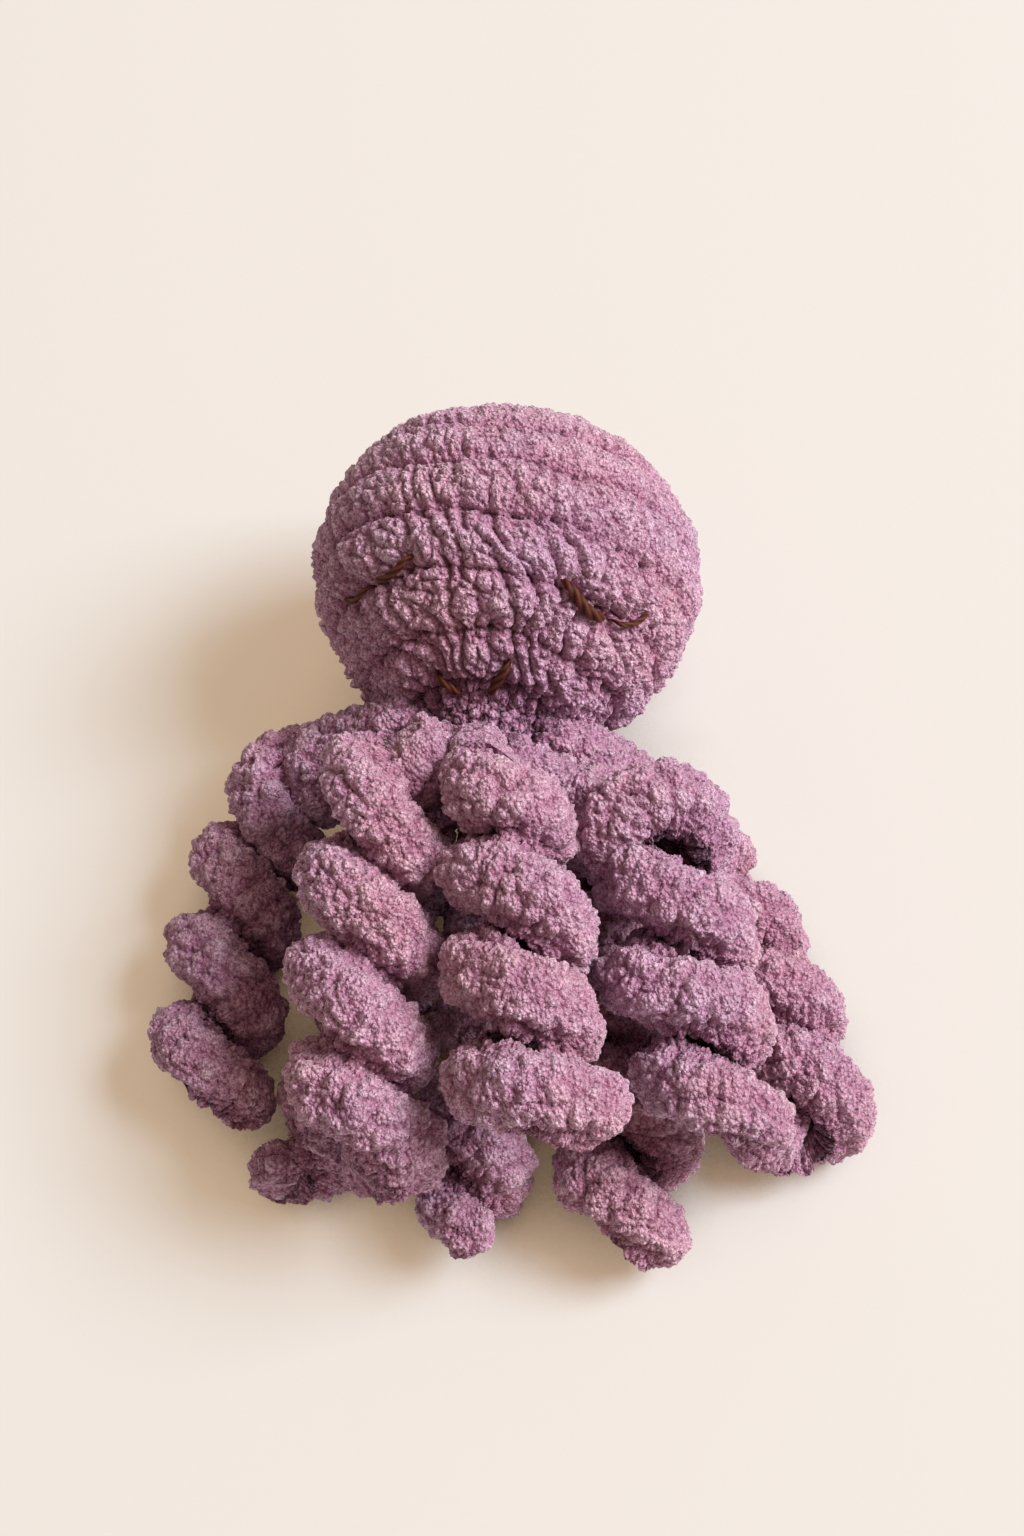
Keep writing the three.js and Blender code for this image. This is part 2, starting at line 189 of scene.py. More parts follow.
def lattice_noise(corners, seed):
    """Three numbers from 0 to 1 for each lattice corner, mixed out of its whole coordinates."""
    mixed = np.uint32(seed * SEED_FACTOR + SEED_START)
    for k, factor in enumerate(AXIS_FACTORS):
        mixed = mixed ^ corners[:, k].astype(np.uint32) * np.uint32(factor)
    out = []
    for factor in MIXING_FACTORS:
        mixed = (mixed ^ (mixed >> np.uint32(15))) * np.uint32(factor)
        mixed = mixed ^ (mixed >> np.uint32(13))
        out.append((mixed & np.uint32(0xFFFF)).astype(np.float32) / 65536.0)
    return np.stack(out, axis=1)


def drift(points, size, seed):
    """Smooth noise from -1 to 1: lattice values mixed with 3t^2 - 2t^3 along each axis."""
    scaled = points.reshape(-1, 3) / size
    corner = np.floor(scaled).astype(np.int64)
    part = scaled - corner
    part = part * part * (3.0 - 2.0 * part)
    total = np.zeros(len(scaled))
    for shift in np.ndindex(2, 2, 2):
        weight = np.prod(np.where(shift, part, 1.0 - part), axis=1)
        total += weight * lattice_noise(corner + shift, seed)[:, 0]
    return (2.0 * total - 1.0).reshape(points.shape[:-1])


def warped(points, size, seed):
    """Points moved by smooth noise, each along its three axes, by up to a third of the size."""
    moves = [drift(points, size, seed + k) for k in range(3)]
    return points + size / 3.0 * np.stack(moves, axis=-1)


def crumple(points, size, seed, crease=0.35):
    """Crumpled pile: sqrt(|smooth noise| / crease), which is 0 in winding creases."""
    return np.sqrt(np.clip(np.abs(drift(points, size, seed)) / crease, 0.0, 1.0))


def tufts(points, size, seed, crease=0.5):
    """Tufts round a jittered lattice of points: sqrt((second - first) / crease), where first and
    second are the distances to the two nearest, in units of size. It is 0 in the creases."""
    scaled = (points.reshape(-1, 3) / size).astype(np.float32)
    corner = np.floor(scaled).astype(np.int64)
    first = np.full(len(scaled), 9.0, np.float32)
    second = first.copy()
    for shift in np.ndindex(3, 3, 3):
        cell = corner + np.array(shift) - 1
        gap = scaled - cell - lattice_noise(cell, seed)
        squared = np.einsum("ij,ij->i", gap, gap)
        second = np.minimum(second, np.maximum(first, squared))
        first = np.minimum(first, squared)
    edge = (np.sqrt(second) - np.sqrt(first)) / crease
    return np.sqrt(np.clip(edge, 0.0, 1.0)).reshape(points.shape[:-1])


def mix(low, high, share):
    """low + (high - low) * share."""
    return low + (high - low) * share


def smooth(value, low, high):
    """3t^2 - 2t^3, where t runs from 0 at low to 1 at high."""
    share = np.clip((value - low) / (high - low), 0.0, 1.0)
    return share * share * (3.0 - 2.0 * share)


def unit(vectors):
    """Vectors scaled to length 1."""
    return vectors / np.maximum(np.linalg.norm(vectors, axis=-1, keepdims=True), 1e-9)


def tube_mesh(name, points, pile_and_shade):
    """A mesh of a grid of points whose columns close on themselves, with a fan of triangles over
    each end. Its attribute is 0 in the creases and 1 on the tufts, and the material paints shade and
    light into the colour by it."""
    rows, columns = points.shape[:2]
    end_middles = [points[0].mean(axis=0), points[-1].mean(axis=0)]
    vertices = np.concatenate([points.reshape(-1, 3), end_middles])
    row, column = np.meshgrid(np.arange(rows - 1), np.arange(columns), indexing="ij")
    here = row * columns + column
    beside = row * columns + (column + 1) % columns
    quads = np.stack([here, here + columns, beside + columns, beside], axis=-1).reshape(-1, 4)
    ring = np.arange(columns)
    following = (ring + 1) % columns
    last = (rows - 1) * columns
    first_end = np.full(columns, rows * columns)
    fans = np.concatenate([
        np.stack([first_end, ring, following], axis=1),
        np.stack([first_end + 1, last + following, last + ring], axis=1),
    ])
    corners = np.concatenate([quads.ravel(), fans.ravel()])
    starts = np.concatenate([np.arange(len(quads)) * 4, quads.size + np.arange(len(fans)) * 3])
    mesh = bpy.data.meshes.new(name)
    mesh.vertices.add(len(vertices))
    mesh.vertices.foreach_set("co", (vertices * MM).astype(np.float32).ravel())
    mesh.loops.add(len(corners))
    mesh.loops.foreach_set("vertex_index", corners.astype(np.int32))
    mesh.polygons.add(len(starts))
    mesh.polygons.foreach_set("loop_start", starts.astype(np.int32))
    mesh.update(calc_edges=True)
    mesh.shade_smooth()
    values = np.concatenate([pile_and_shade.ravel(), [pile_and_shade[0].mean(), pile_and_shade[-1].mean()]])
    attribute = mesh.attributes.new("pile_and_shade", "FLOAT", "POINT")
    attribute.data.foreach_set("value", values.astype(np.float32))
    return mesh


def add_piece(name, points, pile_and_shade, material, slot, *nodes):
    """An object at the origin that stands for its CAD nodes."""
    piece = bpy.data.objects.new(name, tube_mesh(name, points, pile_and_shade))
    piece.data.materials.append(material)
    bpy.context.scene.collection.objects.link(piece)
    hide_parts(*nodes)
    return piece


chenille = chenille_material()


# Head. A ball worked in rounds from the crown to the neck. Each stitch shows two legs, which
# slant across its round, and the rounds near the neck are drawn together into deep folds.
HEAD_RADIUS = 39.0
HEAD_HALF_LENGTH = 32.6
NECK_HALF_LENGTH = 35.2
CROWN_ANGLE = 7.0
ROUND_ANGLE = 19.0
HEAD_OPENING = 170.0
ROUND_DEPTH = 2.1
LEGS_IN_ROUND = (10, 22, 36, 44, 46, 46, 42, 36, 28, 20)
ROUND_WANDER = 0.14
LEG_SLANT = -1.0
LEG_WANDER = 0.8
FINE_LEG_WANDER = 0.35
LEG_DEPTH = (0.9, 2.2)
LUMP_DEPTH = (1.1, 1.8)
TUFT_DEPTH = 0.42
SLOW_DEPTH = 0.6
HEAD_RAISED = 0.6
GATHERED_ANGLES = (70.0, 125.0)
PAINTED_NECK_SHADE = 0.65
PAINTED_NECK_SHADE_ANGLES = (135.0, 165.0)
HEAD_ROWS = 290
HEAD_COLUMNS = 630


def head_surface(angle, around, out):
    """The ellipse (R sin a, L cos a), turned round the head's axis, with `out` along its normal."""
    across = np.sin(np.radians(angle))
    along = np.cos(np.radians(angle))
    half_length = np.where(along > 0, HEAD_HALF_LENGTH, NECK_HALF_LENGTH)
    normal = unit(np.stack([across / HEAD_RADIUS, along / half_length], axis=-1))
    radius = HEAD_RADIUS * across + out * normal[..., 0]
    height = half_length * along + out * normal[..., 1]
    sideways = (radius * np.sin(around))[..., None] * head_side
    upwards = (radius * np.cos(around))[..., None] * up_axis
    return head_middle + sideways + upwards + height[..., None] * head_axis


# Face stitches, as [degrees towards the neck from the middle, degrees round from the top], and the
# thickness of the thread. The thread draws the pile in along each of them.
STITCHES = {
    "left_eye_long_stitch": ((25.6, -27.7), (30.4, -43.5), 0.8),
    "left_eye_short_stitch": ((31.2, -48.5), (30.5, -62.0), 0.65),
    "right_eye_long_stitch": ((29.1, 22.8), (35.3, 42.0), 1.15),
    "right_eye_short_stitch": ((33.9, 47.5), (25.0, 57.0), 0.65),
    "mouth_left_stitch": ((63.0, -34.0), (71.0, -22.0), 0.85),
    "mouth_right_stitch": ((71.0, 4.0), (58.5, 12.3), 0.9),
}
STITCH_PLACES = 12
STITCH_DENT = 1.5
STITCH_DENT_WIDTH = 1.9


def stitch_path(start, end):
    """Places on the head along a stitch."""
    down = np.linspace(start[0], end[0], STITCH_PLACES)
    around = np.radians(np.linspace(start[1], end[1], STITCH_PLACES))
    return head_surface(90.0 + down, around, 0.0)


def stitch_dents(points):
    """Depth that the stitches draw the yarn in: a bell curve of the distance to their paths."""
    depth = np.zeros(points.shape[:-1])
    for start, end, _ in STITCHES.values():
        gap = np.full(points.shape[:-1], np.inf)
        for place in stitch_path(start, end):
            gap = np.minimum(gap, np.linalg.norm(points - place, axis=-1))
        depth = np.maximum(depth, STITCH_DENT * np.exp(-((gap / STITCH_DENT_WIDTH) ** 2)))
    return depth


def head_relief(angle, around, points):
    """Height of the crochet over the ball, and the value for its colour, which paints shade in the
    creases and towards the neck and light on the tufts' tops. The rounds stand out as sqrt|sin|,
    with the legs of their stitches as sqrt|sin| round them, and lumps of yarn and tufts on top. Slow
    noise leads rounds and legs astray."""
    place = (angle - CROWN_ANGLE) / ROUND_ANGLE
    place = place + ROUND_WANDER * drift(points, size=13.0, seed=3)
    bulge = np.sqrt(np.abs(np.sin(np.pi * place)))
    number = np.clip(np.floor(place) + 1, 0, len(LEGS_IN_ROUND) - 1).astype(int)
    legs = np.array(LEGS_IN_ROUND)[number]
    turn = around * legs / (2.0 * np.pi) + LEG_SLANT * (place % 1.0)
    turn = turn + LEG_WANDER * drift(points, size=7.0, seed=4)
    turn += FINE_LEG_WANDER * drift(points, size=3.0, seed=6)
    leg = np.abs(np.sin(np.pi * turn)) ** 0.5
    gathered = smooth(angle, *GATHERED_ANGLES)
    moved = warped(points, size=4.0, seed=13)
    clump = mix(0.15, 1.0, tufts(moved, size=3.3, seed=7, crease=0.3))
    lump = clump * mix(0.45, 1.0, crumple(points, size=2.4, seed=17))
    small = tufts(points, size=1.1, seed=11)
    height = ROUND_DEPTH * (bulge - 1.0) + mix(*LEG_DEPTH, gathered) * (leg - 1.0)
    height += (mix(*LUMP_DEPTH, gathered) * (lump - 0.8) + TUFT_DEPTH * (small - 0.7)
               + SLOW_DEPTH * drift(points, size=7.0, seed=5))
    # Painted shade: the colour value falls in the creases between tufts, lumps, legs and rounds, and
    # towards the neck.
    pile_and_shade = mix(0.6, 1.0, small) * mix(0.5, 1.0, lump)
    painted_neck_shade = mix(1.0, PAINTED_NECK_SHADE, smooth(angle, *PAINTED_NECK_SHADE_ANGLES))
    pile_and_shade *= mix(0.55, 1.0, leg) * mix(0.4, 1.0, bulge) * painted_neck_shade
    return height + HEAD_RAISED, pile_and_shade


angle, around = np.meshgrid(
    np.linspace(0.5, HEAD_OPENING, HEAD_ROWS),
    np.linspace(0.0, 2.0 * np.pi, HEAD_COLUMNS, endpoint=False),
    indexing="ij",
)
ball = head_surface(angle, around, 0.0)
height, pile_and_shade = head_relief(angle, around, ball)
skin = head_surface(angle, around, height - stitch_dents(ball))
skin[..., 2] = np.maximum(skin[..., 2], 0.0)
head = add_piece("head_knit", skin, pile_and_shade, chenille, "chenille_yarn", "head_cover")
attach(head, "head")


# Face thread. Thick brown thread of three twisted plies, sewn in straight stitches that sink into
# the pile at their ends, with a knot behind them.
THREAD_PAINTED_SHADE_BROWN = (0.024, 0.0035, 0.0012, 1.0)
THREAD_PAINTED_LIGHT_BROWN = (0.165, 0.036, 0.009, 1.0)
THREAD_STREAK = (0.6, 0.6, 0.6, 1.0)
THREAD_FIBRE_SIZE = 0.0002
THREAD_FIBRE_SCALE = 4200.0
THREAD_PLIES = 3
THREAD_TWIST = 0.24
THREAD_OVERRUN = 0.06
THREAD_SEAT = 0.15
THREAD_SINK = 1.8
EYE_BOW = 2.2
THREAD_ROWS = 90
THREAD_COLUMNS = 24


def thread_material():
    """Brown, with painted shade between the plies and painted light on them, and fine fibres along
    the thread.
    """
    material = bpy.data.materials.new("thread")
    material.use_nodes = True
    tree = material.node_tree
    shader = tree.nodes["Principled BSDF"]
    ply = tree.nodes.new("ShaderNodeAttribute")
    ply.attribute_name = "pile_and_shade"
    place = tree.nodes.new("ShaderNodeTexCoord").outputs["Object"]
    fibres = node(tree, "ShaderNodeTexNoise", Scale=THREAD_FIBRE_SCALE, Detail=1.0)
    tree.links.new(place, fibres.inputs["Vector"])
    # Painted shade and light: the thread's brown is dark between the plies and light on them.
    base = ramp(tree, ply.outputs["Fac"], [(0.15, THREAD_PAINTED_SHADE_BROWN), (1.0, THREAD_PAINTED_LIGHT_BROWN)])
    streaks = ramp(tree, fibres.outputs["Fac"], [(0.3, THREAD_STREAK), (0.7, WHITE)])
    tree.links.new(multiplied(tree, base, streaks), shader.inputs["Base Color"])
    bump = node(tree, "ShaderNodeBump", Strength=0.5, Distance=THREAD_FIBRE_SIZE)
    tree.links.new(fibres.outputs["Fac"], bump.inputs["Height"])
    tree.links.new(bump.outputs["Normal"], shader.inputs["Normal"])
    shader.inputs["Roughness"].default_value = 0.6
    shader.inputs["Specular IOR Level"].default_value = 0.3
    return material


def twisted_thread(path, radius):
    """A tube of three plies: its radius is r * (0.68 + 0.32 |cos(1.5 (turn + twist))|), where the
    twist grows along the path. Returns its points and how far out each lies on its ply."""
    along = unit(np.gradient(path, axis=0))
    beside = unit(np.cross(along, path - head_middle))
    above = np.cross(beside, along)
    travelled = np.concatenate([[0.0], np.cumsum(np.linalg.norm(np.diff(path, axis=0), axis=1))])
    turn = np.linspace(0.0, 2.0 * np.pi, THREAD_COLUMNS, endpoint=False)
    twist = np.pi * THREAD_TWIST * travelled[:, None]
    ply = np.abs(np.cos(THREAD_PLIES / 2.0 * (turn + twist)))
    wide = radius[:, None] * (0.68 + 0.32 * ply)
    points = path[:, None] + beside[:, None] * (wide * np.cos(turn))[..., None]
    points = points + above[:, None] * (wide * np.sin(turn))[..., None]
    return points, ply


thread = thread_material()
for name, (start, end, radius) in STITCHES.items():
    share = np.linspace(-THREAD_OVERRUN, 1.0 + THREAD_OVERRUN, THREAD_ROWS)
    towards_end = np.abs(2.0 * share - 1.0)
    bow = EYE_BOW * np.sin(np.pi * np.clip(share, 0.0, 1.0)) if "eye" in name else 0.0
    down = mix(start[0], end[0], share) + bow
    turn = np.radians(mix(start[1], end[1], share))
    path = head_surface(90.0 + down, turn, THREAD_SEAT - THREAD_SINK * towards_end**6)
    points, ply = twisted_thread(path, radius * (1.0 - 0.5 * towards_end**4))
    piece = add_piece(f"{name}_thread", points, ply, thread, "brown_thread", name)
    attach(piece, "head")


# Tentacles. Each is a strip of crochet that leaves the neck and curls into a left-handed corkscrew,
# because its stitches are packed on its outer edge. Places on a route are in curl radii: to the
# side, forward of the collar and above the bed.
CURL_RADIUS = 13.6
STRIP_WIDTH = 17.2
STRIP_THICKNESS = 10.4
TURN_GAP = 1.4
ROOT_LENGTH = 6.0
ROOT_RADIUS = 2.1
CLEARANCE = 0.3
COLLAR_RADIUS = 8.275
COLLAR_SEAT = -32.499
COLLAR_RIM = -37.499
COLLAR_SPLAY = math.radians(35.0)
CURL_STEPS = 8
PLAIN_TIP = 0.5
PLAIN_EARLY = 1.5
PLAIN_PLUMP = 1.06

# For each tentacle: its degrees round the head's axis from the right, and whether it leaves from the
# collar's rim; the eighths of a turn before the curl opens (lead), and by how many its strip fills
# out before that (early); how plump its strip is; its curl's size at both ends (swell) and at the
# very tip; how far its turns lean, in mm; the degrees it starts turned by, and its turns' spacing.
TENTACLES = {
    "tentacle_1": {
        "around": 180, "from_rim": True, "lead": 7, "swell": (0.82, 0.94), "lean": (2, 2), "turn": 0,
        "tip": 0.65,
        "route": [(-2.5, -0.2, 1.7), (-3.25, 0.7, 1.0), (-3.6, 1.8, 0.87), (-3.76, 2.9, 0.91),
                  (-3.88, 4, 0.93), (-3.75, 4.75, 0.88)],
    },
    "tentacle_2": {
        "around": 135, "lead": 2.3, "early": 4.5, "plump": 1.15, "swell": (0.95, 1), "lean": (3, 3),
        "turn": 0, "tip": 0.75,
        "route": [(-1.11, 0.85, 3.57), (-1.42, 1.73, 3.38), (-1.52, 3.05, 3.12), (-1.62, 4.23, 2.9),
                  (-1.5, 5.26, 2.57), (-1.4, 6.15, 2.25)],
    },
    "tentacle_3": {
        "around": 90, "lead": 3, "swell": (0.95, 1), "lean": (2.5, 0), "tip": 1.45, "pitch": 1.02,
        "turn": 75,
        "route": [(0.05, 0.85, 3.9), (0.2, 1.58, 3.9), (0.55, 2.68, 3.8), (0.5, 3.93, 3.65),
                  (0.78, 5.75, 3.42)],
    },
    "tentacle_4": {
        "around": 40, "lead": 6, "swell": (0.98, 1.1), "lean": (1.5, 2), "turn": -135, "tip": 0.6,
        "route": [(1.3, 0.93, 3.12), (2.45, 1.58, 3.15), (2.65, 2.68, 3.0), (2.72, 3.86, 2.85),
                  (3.15, 4.96, 2.75), (3.4, 5.8, 2.4)],
    },
    "tentacle_5": {
        "around": 0, "from_rim": True, "lead": 15, "swell": (0.85, 0.94), "lean": (2, 2), "turn": 0,
        "tip": 0.7,
        "route": [(2.5, 0.3, 1.5), (3.1, 1.0, 0.97), (3.6, 1.8, 0.87), (4.1, 3.05, 0.91),
                  (4.6, 4.4, 0.94), (4.55, 5.6, 0.9)],
    },
    "tentacle_6": {
        "around": 225, "lead": 3, "plump": 1.12, "swell": (0.62, 0.85), "lean": (1, 1), "turn": 0,
        "tip": 0.55,
        "route": [(-0.89, 0.7, 1.62), (-1.28, 1.58, 1.0), (-1.49, 2.9, 0.72), (-1.79, 4.15, 0.76),
                  (-2.4, 5.35, 0.8), (-2.75, 6.05, 0.76)],
    },
    "tentacle_7": {
        "around": 270, "lead": 5, "plump": 1.12, "swell": (0.62, 0.9), "lean": (1, 1), "turn": 0,
        "route": [(0.07, 0.7, 1.47), (0.14, 1.58, 0.9), (0.12, 3.05, 0.73), (0.05, 4.52, 0.79),
                  (-0.2, 5.85, 0.83), (-0.1, 6.75, 0.77)],
    },
    "tentacle_8": {
        "around": 315, "lead": 5, "swell": (0.6, 1.1), "lean": (1, 1), "turn": 0, "tip": 0.65,
        "route": [(0.98, 0.75, 1.54), (1.65, 1.58, 1.0), (2.0, 2.9, 0.8), (2.1, 4.3, 0.95),
                  (2.05, 5.63, 1.05), (2, 6.7, 0.85)],
    },
}
collar_middle = head_middle + COLLAR_RIM * head_axis


def root_start(from_rim):
    """Distance from the head's axis, and along it, of a root's first ring."""
    if from_rim:
        return COLLAR_RADIUS + CLEARANCE, (COLLAR_SEAT + COLLAR_RIM) / 2.0
    inset = ROOT_RADIUS * math.cos(COLLAR_SPLAY) + CLEARANCE
    reach = COLLAR_RADIUS - inset + CLEARANCE * math.sin(COLLAR_SPLAY)
    along = COLLAR_RIM - inset * math.tan(COLLAR_SPLAY) - CLEARANCE * math.cos(COLLAR_SPLAY)
    return reach, along


def route_points(tentacle):
    """The places that a tentacle's middle line passes through."""
    around = math.radians(tentacle["around"])
    from_rim = tentacle.get("from_rim", False)
    spoke = math.cos(around) * head_side + math.sin(around) * up_axis
    reach, along = root_start(from_rim)
    splay = math.pi / 2.0 if from_rim else COLLAR_SPLAY
    start = head_middle + reach * spoke + along * head_axis
    end = start + ROOT_LENGTH * (math.sin(splay) * spoke - math.cos(splay) * head_axis)
    route = np.array(tentacle["route"]) * CURL_RADIUS
    middle = np.array([collar_middle[0], collar_middle[1], 0.0])
    return np.vstack([start, end, middle + route * np.array([1.0, -1.0, 1.0])])


CURVE_STEPS = 400


def curve_through(places):
    """A centripetal Catmull-Rom curve through the places, as (distances, points)."""
    ends = 2.0 * places[[0, -1]] - places[[1, -2]]
    padded = np.vstack([ends[0], places, ends[1]])
    spans = np.sqrt(np.linalg.norm(np.diff(padded, axis=0), axis=1))
    share = np.linspace(0.0, 1.0, CURVE_STEPS, endpoint=False)[:, None]
    pieces = []
    for k in range(1, len(padded) - 2):
        p0, p1, p2, p3 = padded[k - 1:k + 3]
        d0, d1, d2 = spans[k - 1:k + 2]
        slope_in = ((p1 - p0) / d0 - (p2 - p0) / (d0 + d1) + (p2 - p1) / d1) * d1
        slope_out = ((p2 - p1) / d1 - (p3 - p1) / (d1 + d2) + (p3 - p2) / d2) * d1
        cubic = 2.0 * p1 - 2.0 * p2 + slope_in + slope_out
        square = -3.0 * p1 + 3.0 * p2 - 2.0 * slope_in - slope_out
        pieces.append(p1 + slope_in * share + square * share**2 + cubic * share**3)
    points = np.vstack([*pieces, places[-1:]])
    gaps = np.linalg.norm(np.diff(points, axis=0), axis=1)
    return np.concatenate([[0.0], np.cumsum(gaps)]), points


def along_curve(curve, distance):
    """Points on a curve at distances from its start."""
    distances, points = curve
    return np.stack([np.interp(distance, distances, points[:, k]) for k in range(3)], axis=-1)


FULL_ROOT = (3.4, 5.4)
FULL_ROOT_LENGTH = 9.0
FULL_TIP = 0.25
EDGE_SHARE = 0.97
SLOPE_STEP = 0.05


def strip_line(tentacle, curve, distance):
    """The middle line of the strip at distances along the route: its points, which way is outwards,
    how far the strip has opened, and its half thickness and half width."""
    length = curve[0][-1]
    start = ROOT_LENGTH + 2.0 * CLEARANCE
    pitch = tentacle.get("pitch", 1.0)
    tip = tentacle.get("tip", PLAIN_TIP)
    steps = round((length - start) / (STRIP_WIDTH * pitch + TURN_GAP) * CURL_STEPS)
    step = (distance - start) / (length - start) * steps
    lead = tentacle["lead"]
    opened = smooth(step, lead, lead + CURL_STEPS / 2.0)
    early = tentacle.get("early", PLAIN_EARLY)
    full = smooth(step, lead - early, lead + CURL_STEPS / 2.0 - early)
    drawn = smooth(step, steps - CURL_STEPS, steps)
    share = np.clip(step / steps, 0.0, 1.0)
    swollen = mix(*tentacle["swell"], share)
    lean = mix(*tentacle["lean"], share)
    before, after = (along_curve(curve, distance + side * SLOPE_STEP) for side in (-1.0, 1.0))
    ahead = unit(after - before)
    upwards = unit(up_axis - ahead[:, 2:] * ahead)
    left = np.cross(upwards, ahead)
    angle = math.radians(tentacle["turn"]) + 2.0 * np.pi * step / CURL_STEPS
    outwards = upwards * np.cos(angle)[:, None] + left * np.sin(angle)[:, None]
    reach = (CURL_RADIUS - STRIP_THICKNESS / 2.0) * swollen * opened * mix(1.0, tip, drawn)
    centre = along_curve(curve, distance) + outwards * reach[:, None]
    centre += ahead * (lean * opened * np.sin(angle))[:, None]
    neck = mix(*FULL_ROOT, np.clip(distance / FULL_ROOT_LENGTH, 0.0, 1.0))
    drawn_in = mix(1.0, min(1.0, tip + FULL_TIP), drawn)
    plump = tentacle.get("plump", PLAIN_PLUMP)
    thickness = mix(neck, STRIP_THICKNESS / 2.0 * swollen * plump, full) * drawn_in
    width = mix(neck, STRIP_WIDTH / 2.0 * pitch * EDGE_SHARE, full) * drawn_in
    return centre, outwards, opened, thickness, width


ROUTE_SAMPLES = 4000
ROW_SPACING = 0.38
OUTER_COLUMNS = 70
INNER_COLUMNS = 20
OUTER_HALF_ANGLE = 110.0
TIP_ROUNDING = 7.0
CUPPING = 2.8
SECTION_POWER = 0.95
ROW_WANDER = 0.3
STITCH_PITCH = 6.5
STITCH_SLANT = 0.8
STITCH_DEPTH = 0.8
CLUMP_DEPTH = 1.9
KNUB_DEPTH = 1.1
FRINGE_PITCH = 1.3
FRINGE_WANDER = 0.6
FRINGE_DEPTH = 0.7
FRINGE_SHARE = 0.7
EDGE_DEPTH = 1.4
WAVE_DEPTH = 0.9
STRIP_RAISED = 1.0
PAINTED_ROOT_SHADE_SPAN = (4.0, 15.0)
INNER_SHADE_FACING = (-0.2, 0.4)
INNER_SHADE_FROM_TIP = (12.0, 35.0)
RELIEF_RISE = 6.0
TIP_RELIEF = 0.15


def even_distances(tentacle, curve):
    """Distances along the route that lie evenly spaced along the strip's outer side."""
    distance = np.linspace(0.0, curve[0][-1], ROUTE_SAMPLES)
    centre, outwards, _, thickness, _ = strip_line(tentacle, curve, distance)
    outer = centre + outwards * thickness[:, None]
    travelled = np.concatenate([[0.0], np.cumsum(np.linalg.norm(np.diff(outer, axis=0), axis=1))])
    even = np.linspace(0.0, travelled[-1], int(travelled[-1] / ROW_SPACING))
    return np.interp(even, travelled, distance), even


def section_angles():
    """Angles round the strip's section, closer together on its outer side."""
    outer = np.linspace(-OUTER_HALF_ANGLE, OUTER_HALF_ANGLE, OUTER_COLUMNS, endpoint=False)
    inner = np.linspace(OUTER_HALF_ANGLE, 360.0 - OUTER_HALF_ANGLE, INNER_COLUMNS, endpoint=False)
    return np.radians(np.concatenate([outer, inner]))


def grid_normals(points):
    """Cross products of the grid's two tangents. Columns close on themselves."""
    along_rows = np.gradient(points, axis=0)
    wrapped = np.concatenate([points[:, -1:], points, points[:, :1]], axis=1)
    return unit(np.cross(along_rows, wrapped[:, 2:] - wrapped[:, :-2]))


def strip_relief(points, across, travelled, opened, inner):
    """Height of the crochet on a strip, and the value for its colour: two rows along it and stitches
    over it as sqrt|sin|, a short fringe on its edges, lumps of yarn and tufts. The colour value
    paints shade in the creases and grooves, at the edges, on the inner side and at the neck, and
    light on the tufts' tops."""
    wander = drift(points, size=7.0, seed=21)
    row = np.abs(np.sin(np.pi * (across + 1.0 + ROW_WANDER * wander))) ** 0.5
    phase = np.pi * travelled / STITCH_PITCH + wander + STITCH_SLANT * across
    stitch = np.abs(np.sin(phase)) ** 0.5
    moved = warped(points, size=3.0, seed=33)
    clump = mix(0.3, 1.0, crumple(points, size=4.0, seed=23, crease=0.3))
    clump = clump * mix(0.4, 1.0, tufts(moved, size=4.8, seed=24, crease=0.3))
    moved = warped(points, size=2.0, seed=37)
    lump = mix(0.4, 1.0, crumple(points, size=1.9, seed=27))
    lump = lump * mix(0.4, 1.0, tufts(moved, size=2.2, seed=28, crease=0.4))
    fringe = np.abs(np.sin(np.pi * travelled / FRINGE_PITCH + FRINGE_WANDER * wander)) ** 0.6
    edge = smooth(np.abs(across), 0.6, 0.9) * opened
    ends = mix(tufts(points, size=1.1, seed=29), fringe, FRINGE_SHARE * edge)
    height = opened * (STITCH_DEPTH * (row - 1.0) + STITCH_DEPTH * (stitch - 1.0))
    height = height + CLUMP_DEPTH * (clump - 0.8) + KNUB_DEPTH * (lump - 0.8)
    height += (mix(TUFT_DEPTH, FRINGE_DEPTH, edge) * (ends - 0.7)
               + WAVE_DEPTH * drift(points, size=7.0, seed=31) - EDGE_DEPTH * edge)
    # Painted shade: the colour value falls in the creases between tufts, clumps and lumps, in the
    # grooves of rows and stitches, at the edges, on the inner side of each turn and near the neck.
    pile_and_shade = mix(0.6, 1.0, ends) * mix(0.45, 1.0, clump) * mix(0.5, 1.0, lump)
    pile_and_shade *= mix(0.7, 1.0, row * stitch) * mix(1.0, 0.4, inner * opened) * mix(1.0, 0.75, edge)
    pile_and_shade *= mix(0.5, 1.0, smooth(travelled, *PAINTED_ROOT_SHADE_SPAN))
    return height + STRIP_RAISED, pile_and_shade


